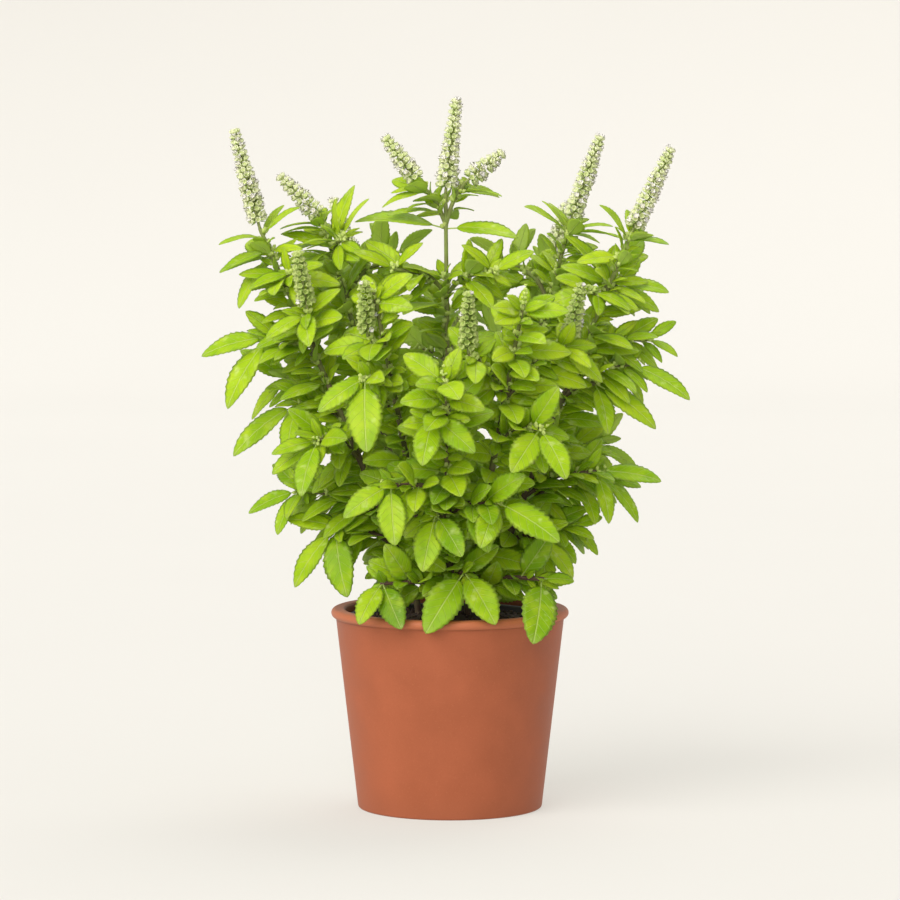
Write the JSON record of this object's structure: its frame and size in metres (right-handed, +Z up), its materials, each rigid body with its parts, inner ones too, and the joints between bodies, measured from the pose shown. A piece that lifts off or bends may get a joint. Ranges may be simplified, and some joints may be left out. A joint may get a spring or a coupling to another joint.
{
  "type": "potted holy basil",
  "caption": "Bushy herb with toothed leaves and slim upright flower spikes, growing in a black nursery pot inside a round terracotta-coloured pot.",
  "frame": {"origin": "centre of the pot's underside", "axes": "+Z up through the plant, -Y towards its front, +X to its right as seen from the front"},
  "size_m": [0.328, 0.2915, 0.4759],
  "materials": {
    "terracotta": "satin",
    "black_plastic": "satin",
    "soil": "matte",
    "leaf": "satin",
    "spike": "matte"
  },
  "bodies": {
    "root": {"pot": "terracotta", "liner": "black_plastic", "soil": "soil", "stem_01": "leaf", "stem_02": "leaf", "stem_03": "leaf", "stem_04": "leaf", "stem_05": "leaf", "stem_06": "leaf", "stem_07": "leaf", "stem_08": "leaf", "stem_09": "leaf", "stem_10": "leaf", "stem_11": "leaf", "spike_01": "spike", "spike_02": "spike", "spike_03": "spike", "spike_04": "spike", "spike_05": "spike", "spike_06": "spike", "spike_07": "spike", "spike_08": "spike", "spike_09": "spike", "spike_10": "spike", "spike_11": "spike", "spike_12": "spike", "spike_13": "spike"}
  },
  "joints": []
}
